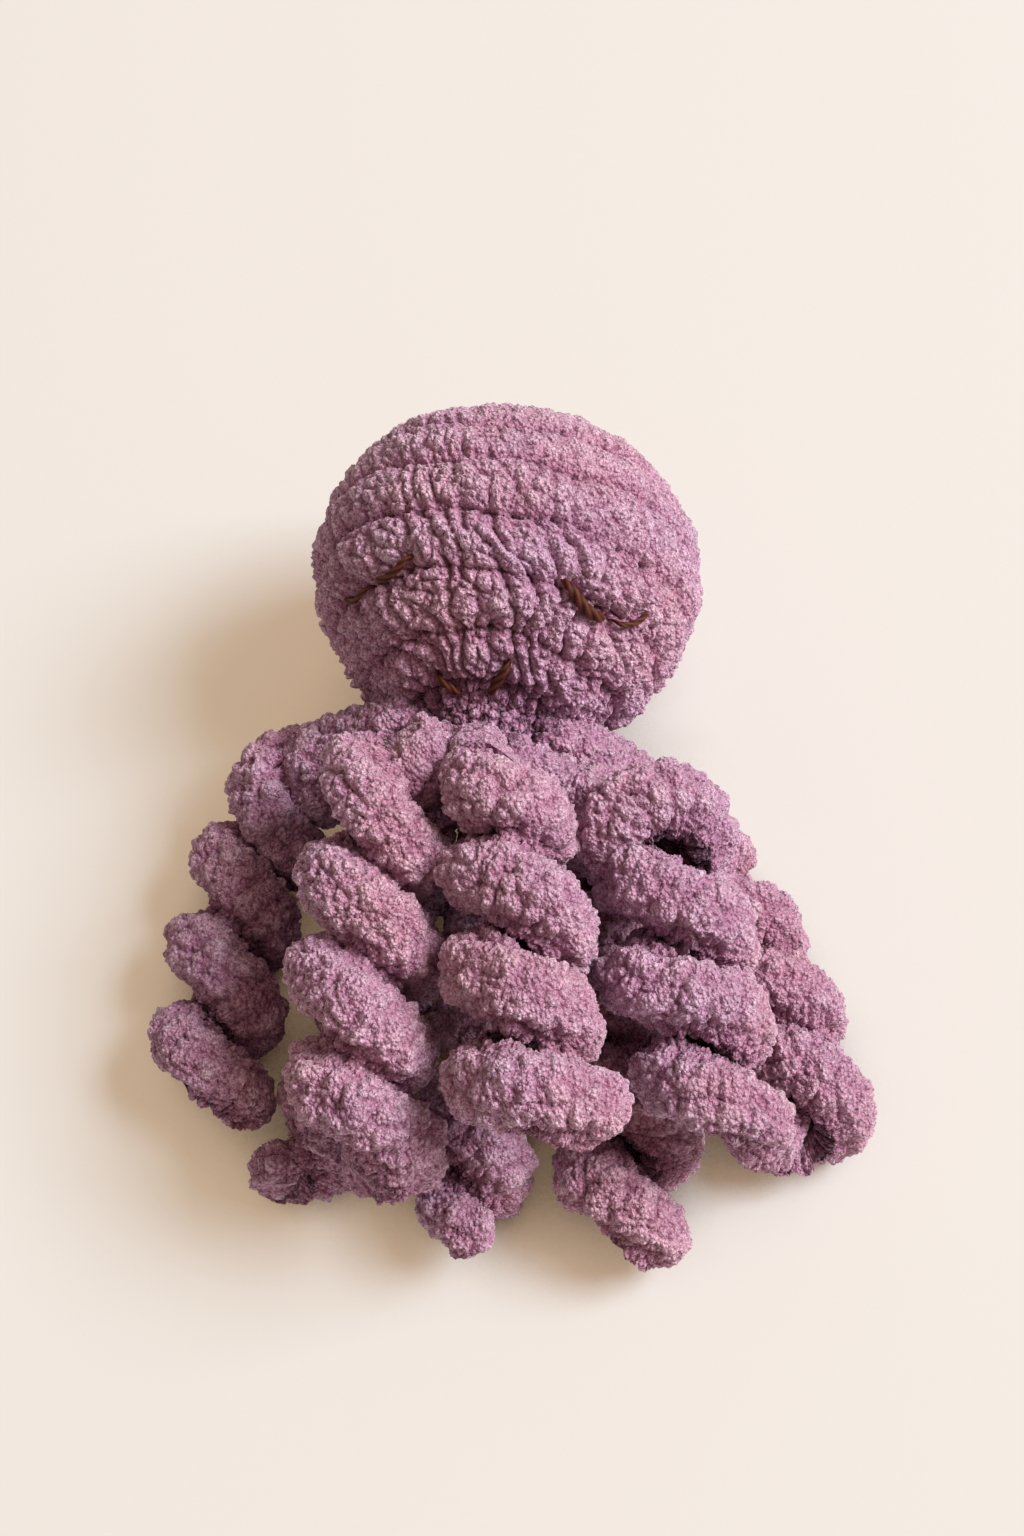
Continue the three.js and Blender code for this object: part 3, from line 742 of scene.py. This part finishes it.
def tentacle_skin(tentacle, curve):
    """One unbroken skin from the collar to the tip: an ellipse cupped towards the curl's middle,
    carried along the strip, with the crochet standing on it."""
    distance, travelled = even_distances(tentacle, curve)
    centre, outwards, opened, thickness, width = strip_line(tentacle, curve, distance)
    along = unit(np.gradient(centre, axis=0))
    out = unit(outwards - along * np.einsum("ij,ij->i", along, outwards)[:, None])
    across = np.cross(along, out)
    left_over = np.clip((travelled[-1] - travelled) / TIP_ROUNDING, 0.0, 1.0)
    end = np.sqrt(np.clip(1.0 - (1.0 - left_over) ** 2, 0.0, 1.0))
    angle = section_angles()
    sideways = np.sin(angle)
    raised = np.sign(np.cos(angle)) * np.abs(np.cos(angle)) ** SECTION_POWER
    cupped = CUPPING * (opened * end)[:, None] * sideways**2
    points = (centre[:, None]
              + out[:, None] * ((thickness * end)[:, None] * raised - cupped)[..., None]
              + across[:, None] * ((width * end)[:, None] * sideways)[..., None])
    normals = grid_normals(points)
    normals *= np.sign(np.median(np.einsum("ijk,ijk->ij", normals, points - centre[:, None])))
    side = np.broadcast_to(sideways, points.shape[:2])
    path = np.broadcast_to(travelled[:, None], points.shape[:2])
    # Painted shade: the inner side of each turn, away from the tip, is marked here to be darkened.
    away_from_tip = smooth(travelled[-1] - travelled, *INNER_SHADE_FROM_TIP)[:, None]
    inner = smooth(-np.cos(angle), *INNER_SHADE_FACING) * away_from_tip
    height, pile_and_shade = strip_relief(points, side, path, opened[:, None], inner)
    fading = smooth(travelled, 0.0, RELIEF_RISE) * np.clip(end, TIP_RELIEF, 1.0)
    height = height * fading[:, None]
    skin = points + normals * height[..., None]
    skin[..., 2] = np.maximum(skin[..., 2], 0.0)
    return skin, pile_and_shade


for name, tentacle in TENTACLES.items():
    curve = curve_through(route_points(tentacle))
    skin, pile_and_shade = tentacle_skin(tentacle, curve)
    piece = add_piece(f"{name}_knit", skin, pile_and_shade, chenille, "chenille_yarn", name, f"{name}_root")
    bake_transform(piece)


# Neck collar. The last rounds, drawn in to a small ring of gathered stitches that carries the
# tentacles, with the closing yarn pulled tight in its hole.
COLLAR_HOLE = 3.3
COLLAR_RIBS = 18
COLLAR_RIB_DEPTH = 0.9
COLLAR_TUFT_DEPTH = 0.7
COLLAR_PAINTED_SHADE = 0.6
COLLAR_ROWS = 200
COLLAR_COLUMNS = 110
COLLAR_PROFILE = np.array([
    [COLLAR_HOLE, -29.0], [6.0, -29.2], [9.5, -31.0], [10.4, -33.5], [10.3, -36.0], [9.0, -38.4],
    [6.5, -40.0], [4.2, -40.6], [COLLAR_HOLE, -39.0], [COLLAR_HOLE, -33.0],
])


def around_axis(radius, along, around):
    """Points at a distance from the head's axis, and along it, turned round it."""
    sideways = (radius * np.sin(around))[..., None] * head_side
    upwards = (radius * np.cos(around))[..., None] * up_axis
    return head_middle + sideways + upwards + along[..., None] * head_axis


def collar_skin():
    """The closed profile turned round the head's axis, with ribs and tufts along its normal."""
    closed = np.vstack([COLLAR_PROFILE, COLLAR_PROFILE[:1]])
    lengths = np.concatenate([[0.0], np.cumsum(np.linalg.norm(np.diff(closed, axis=0), axis=1))])
    sample = np.linspace(0.0, lengths[-1], COLLAR_COLUMNS, endpoint=False)
    radius, along = (np.interp(sample, lengths, closed[:, k]) for k in range(2))
    around = np.linspace(0.0, 2.0 * np.pi, COLLAR_ROWS, endpoint=False)[:, None]
    around = np.vstack([around, around[:1]])
    points = around_axis(radius, along, around)
    normals = -grid_normals(points)
    rib = np.abs(np.sin(COLLAR_RIBS / 2.0 * around)) ** 0.45
    small = tufts(points, size=1.9, seed=37)
    height = COLLAR_RIB_DEPTH * (rib - 1.0) + COLLAR_TUFT_DEPTH * (small - 0.7)
    # Painted shade: the collar's colour value is lower all over, and falls between its ribs and
    # tufts.
    return points + normals * height[..., None], COLLAR_PAINTED_SHADE * small * mix(0.5, 1.0, rib)


skin, pile_and_shade = collar_skin()
collar = add_piece("collar_knit", skin, pile_and_shade, chenille, "chenille_yarn", "neck_collar")
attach(collar, "head")


# Closing yarn. The end of the chenille, drawn tight in the hole of the collar. Its tail is woven
# into the head.
CLOSING_RADIUS = 1.7
YARN_RADIUS = 1.45
YARN_COLUMNS = 24
LOOP_TURN = 2.06 * np.pi
LOOP_ROWS = 110
TAIL_ROWS = 150
TAIL_PLACES = np.array([[0.0, -32.6], [0.0, -21.46], [2.83, -10.13], [8.5, 1.21]])


def yarn_strand(path, plane_normal):
    """A round strand along a path in a plane: its section shrinks as sqrt(1 - (1 - d / r)^2) within
    r of its ends, and it carries tufts."""
    along = unit(np.gradient(path, axis=0))
    beside = np.cross(along, plane_normal)
    travelled = np.concatenate([[0.0], np.cumsum(np.linalg.norm(np.diff(path, axis=0), axis=1))])
    left_over = np.clip(np.minimum(travelled, travelled[-1] - travelled) / YARN_RADIUS, 0.0, 1.0)
    wide = YARN_RADIUS * np.sqrt(1.0 - (1.0 - left_over) ** 2)
    turn = np.linspace(0.0, 2.0 * np.pi, YARN_COLUMNS, endpoint=False)[:, None]
    outwards = beside[:, None] * np.cos(turn) + plane_normal * np.sin(turn)
    small = tufts(path[:, None] + YARN_RADIUS * outwards, size=1.1, seed=41)
    # The tufts also set the colour value, which paints shade between them.
    return path[:, None] + outwards * (wide[:, None] * mix(0.8, 1.0, small))[..., None], small


turns = np.linspace(0.0, LOOP_TURN, LOOP_ROWS)
loop = around_axis(CLOSING_RADIUS, np.full(LOOP_ROWS, CLOSING_YARN_PLACE), turns)
strand, pile_and_shade = yarn_strand(loop, head_axis)
closing_yarn = add_piece(
    "closing_yarn_strand", strand, pile_and_shade, chenille, "chenille_yarn", "closing_yarn"
)
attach(closing_yarn, "head")

tail_places = head_middle + TAIL_PLACES[:, :1] * head_side + TAIL_PLACES[:, 1:] * head_axis
tail_curve = curve_through(tail_places)
tail = along_curve(tail_curve, np.linspace(0.0, tail_curve[0][-1], TAIL_ROWS))
strand, pile_and_shade = yarn_strand(tail, up_axis)
tail_piece = add_piece(
    "closing_yarn_tail_strand", strand, pile_and_shade, chenille, "chenille_yarn", "closing_yarn_tail"
)
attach(tail_piece, "head")


# Knot of the face thread, between the head's cover and the stuffing: a ball of thread whose winds
# run slanting round it, five to a round.
KNOT_RADIUS = 2.0
KNOT_WINDS = 5
KNOT_SLANT = 4.0
KNOT_ROWS = 60
KNOT_COLUMNS = 80
knot_middle = np.array(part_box("face_thread_knot")).mean(axis=0) / MM
lower, around = np.meshgrid(
    np.linspace(0.05, np.pi - 0.05, KNOT_ROWS),
    np.linspace(0.0, 2.0 * np.pi, KNOT_COLUMNS, endpoint=False),
    indexing="ij",
)
wound = np.abs(np.cos(KNOT_WINDS / 2.0 * around + KNOT_SLANT * lower))
size = KNOT_RADIUS * mix(0.8, 1.0, wound)
outwards = np.stack(
    [np.sin(lower) * np.sin(around), np.sin(lower) * np.cos(around), np.cos(lower)], axis=-1
)
ball = knot_middle + size[..., None] * outwards
# The winds set the thread's painted shade between them and painted light on them.
knot = add_piece("face_thread_knot_ball", ball, wound, thread, "brown_thread", "face_thread_knot")
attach(knot, "head")


# Stuffing: loose white fibre that fills the head, with a channel for the yarn and a hollow for the
# knot. It is the CAD solid remeshed, with its surface moved in and out by smooth noise.
STUFFING_CELL = 0.0011
STUFFING_RELIEF = 0.4
STUFFING_RELIEF_SIZE = 5.0
STUFFING_SUNK = 0.2
WISP_SCALE = 900.0
WISP_HEIGHT = 0.0006
STUFFING_COLOR = (0.86, 0.85, 0.82, 1.0)
STUFFING_SHADE = (0.70, 0.69, 0.66, 1.0)


def filling_material():
    """Off-white fibre, darker in its folds, with fine strands as bump."""
    material = bpy.data.materials.new("filling")
    material.use_nodes = True
    tree = material.node_tree
    shader = tree.nodes["Principled BSDF"]
    place = tree.nodes.new("ShaderNodeTexCoord").outputs["Object"]
    wisps = node(tree, "ShaderNodeTexNoise", Scale=WISP_SCALE, Detail=6.0, Distortion=1.5)
    tree.links.new(place, wisps.inputs["Vector"])
    color = ramp(tree, wisps.outputs["Fac"], [(0.3, STUFFING_SHADE), (0.6, STUFFING_COLOR)])
    tree.links.new(color, shader.inputs["Base Color"])
    bump = node(tree, "ShaderNodeBump", Strength=0.7, Distance=WISP_HEIGHT)
    tree.links.new(wisps.outputs["Fac"], bump.inputs["Height"])
    tree.links.new(bump.outputs["Normal"], shader.inputs["Normal"])
    shader.inputs["Roughness"].default_value = 0.95
    shader.inputs["Sheen Weight"].default_value = 0.4
    return material


def stuffing_mesh(source):
    """A merged and voxel-remeshed copy of the CAD node, moved along its normals by smooth noise
    less a little, so that it stays inside the head."""
    whole = bmesh.new()
    whole.from_mesh(source.data)
    bmesh.ops.transform(whole, matrix=source.matrix_world, verts=whole.verts)
    bmesh.ops.remove_doubles(whole, verts=whole.verts, dist=1e-6)
    merged = bpy.data.meshes.new("head_stuffing_merged")
    whole.to_mesh(merged)
    whole.free()
    copy = bpy.data.objects.new("head_stuffing_merged", merged)
    bpy.context.scene.collection.objects.link(copy)
    remesh = copy.modifiers.new("remesh", "REMESH")
    remesh.mode = "VOXEL"
    remesh.voxel_size = STUFFING_CELL
    finished = copy.evaluated_get(bpy.context.evaluated_depsgraph_get())
    mesh = bpy.data.meshes.new_from_object(finished)
    bpy.data.objects.remove(copy)
    places = np.empty(len(mesh.vertices) * 3, np.float32)
    normals = np.empty(len(mesh.vertices) * 3, np.float32)
    mesh.vertices.foreach_get("co", places)
    mesh.vertex_normals.foreach_get("vector", normals)
    points = places.reshape(-1, 3) / MM
    moved = STUFFING_RELIEF * drift(points, size=STUFFING_RELIEF_SIZE, seed=51) - STUFFING_SUNK
    points = points + normals.reshape(-1, 3) * moved[:, None]
    mesh.vertices.foreach_set("co", (points * MM).astype(np.float32).ravel())
    mesh.update()
    mesh.shade_smooth()
    return mesh


stuffing_fibre = stuffing_mesh(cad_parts["head_stuffing"])
stuffing = bpy.data.objects.new("head_stuffing_fibre", stuffing_fibre)
stuffing.data.materials.clear()
stuffing.data.materials.append(filling_material())
bpy.context.scene.collection.objects.link(stuffing)
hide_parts("head_stuffing")
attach(stuffing, "head")


# Floor: a plain pale surface. Where it is seen it glows a little, a painted light, so that the
# shadows on it stay warm and light, as on bedding, but painted shade makes it dark where the toy
# closes over it. Painted shade darkens its paint towards the lamp, outside the camera's view, so
# that it never turns white.
FLOOR_COLOR = (0.93, 0.915, 0.92, 1.0)
SEEN_FLOOR_COLOR = (0.40, 0.485, 0.57, 1.0)
SEEN_FLOOR_GLOW = (0.44, 0.30, 0.18, 1.0)
PAINTED_CLOSED_SHADE = (0.04, 0.02, 0.02, 1.0)
CLOSED_REACH = 0.03
LAMP_SIDE_COLOR = (0.70, 0.70, 0.70, 1.0)
LAMP_SIDE_FROM, LAMP_SIDE_TO = 0.22, 1.0
FLOOR_REACH = 2.0
floor_paint = bpy.data.materials.new("floor")
floor_paint.use_nodes = True
floor_tree = floor_paint.node_tree
rays = floor_tree.nodes.new("ShaderNodeLightPath")
seen = floor_tree.nodes.new("ShaderNodeMath")
seen.operation = "MAXIMUM"
floor_tree.links.new(rays.outputs["Is Camera Ray"], seen.inputs[0])
floor_tree.links.new(rays.outputs["Is Glossy Ray"], seen.inputs[1])
seen_through = floor_tree.nodes.new("ShaderNodeMath")
seen_through.operation = "MAXIMUM"
floor_tree.links.new(seen.outputs["Value"], seen_through.inputs[0])
floor_tree.links.new(rays.outputs["Is Transmission Ray"], seen_through.inputs[1])
# Painted shade: where ambient occlusion finds the toy close over the floor, its paint and glow run
# to near black.
open_air = node(floor_tree, "ShaderNodeAmbientOcclusion", Distance=CLOSED_REACH)
open_air.samples = 5
openness = ramp(floor_tree, open_air.outputs["AO"], [(0.2, PAINTED_CLOSED_SHADE), (0.55, WHITE)])
floor_place = floor_tree.nodes.new("ShaderNodeTexCoord").outputs["Object"]
lamp_side = floor_tree.nodes.new("ShaderNodeSeparateXYZ")
floor_tree.links.new(floor_place, lamp_side.inputs["Vector"])
fade_stops = [(LAMP_SIDE_FROM, WHITE), (LAMP_SIDE_TO, LAMP_SIDE_COLOR)]
fade = ramp(floor_tree, lamp_side.outputs["X"], fade_stops)
openness = multiplied(floor_tree, openness, fade)
floor_shader = floor_tree.nodes["Principled BSDF"]
floor_shader.inputs["Roughness"].default_value = 0.95
floor_shader.inputs["Specular IOR Level"].default_value = 0.05
glow = node(floor_tree, "ShaderNodeRGB")
glow.outputs["Color"].default_value = SEEN_FLOOR_GLOW
shaded_glow = multiplied(floor_tree, glow.outputs["Color"], openness)
floor_tree.links.new(shaded_glow, floor_shader.inputs["Emission Color"])
floor_tree.links.new(seen_through.outputs["Value"], floor_shader.inputs["Emission Strength"])
paint = floor_tree.nodes.new("ShaderNodeMix")
paint.data_type = "RGBA"
paint.inputs["A"].default_value = FLOOR_COLOR
paint.inputs["B"].default_value = SEEN_FLOOR_COLOR
floor_tree.links.new(seen_through.outputs["Value"], paint.inputs["Factor"])
shaded_paint = multiplied(floor_tree, paint.outputs["Result"], openness)
floor_tree.links.new(shaded_paint, floor_shader.inputs["Base Color"])
floor_mesh = bpy.data.meshes.new("floor")
floor_corners = FLOOR_REACH * np.array([(-1, -1, 0), (1, -1, 0), (1, 1, 0), (-1, 1, 0)])
floor_mesh.from_pydata(floor_corners.tolist(), [], [(0, 1, 2, 3)])
floor_mesh.materials.append(floor_paint)
floor = bpy.data.objects.new("floor", floor_mesh)
bpy.context.scene.collection.objects.link(floor)


# Light: a wide soft window on the right, a little behind the head, that faces the toy, and a pale
# surround, which lights the toy warmly and is seen as a plain wall.
WINDOW_PLACE = np.array([2.6, 0.45, 3.0])
WINDOW_TARGET = np.array([0.0, 0.0, 0.02])
WINDOW_SIZE = 1.8
WINDOW_POWER = 194.0
WINDOW_COLOR = (0.99, 0.98, 0.96)
window_data = bpy.data.lights.new("window", "AREA")
window_data.size = WINDOW_SIZE
window_data.energy = WINDOW_POWER
window_data.color = WINDOW_COLOR
window = bpy.data.objects.new("window", window_data)
window.location = WINDOW_PLACE
away = WINDOW_PLACE - WINDOW_TARGET
tilt = math.acos(away[2] / np.linalg.norm(away))
window.rotation_euler = (tilt, 0.0, math.atan2(away[0], -away[1]))
bpy.context.scene.collection.objects.link(window)

SURROUND_COLOR = (1.0, 0.80, 0.62, 1.0)
SURROUND_STRENGTH = 0.30
SEEN_SURROUND_COLOR = (0.88, 0.84, 0.79, 1.0)
world = bpy.data.worlds.new("surround")
world.use_nodes = True
sky_tree = world.node_tree
sky_rays = sky_tree.nodes.new("ShaderNodeLightPath")
lit = sky_tree.nodes["Background"]
lit.inputs["Color"].default_value = SURROUND_COLOR
lit.inputs["Strength"].default_value = SURROUND_STRENGTH
shown = node(sky_tree, "ShaderNodeBackground", Color=SEEN_SURROUND_COLOR, Strength=1.0)
sky = sky_tree.nodes.new("ShaderNodeMixShader")
sky_tree.links.new(sky_rays.outputs["Is Camera Ray"], sky.inputs["Fac"])
sky_tree.links.new(lit.outputs["Background"], sky.inputs[1])
sky_tree.links.new(shown.outputs["Background"], sky.inputs[2])
sky_tree.links.new(sky.outputs["Shader"], sky_tree.nodes["World Output"].inputs["Surface"])
bpy.context.scene.world = world
bpy.context.scene.view_settings.view_transform = "Standard"
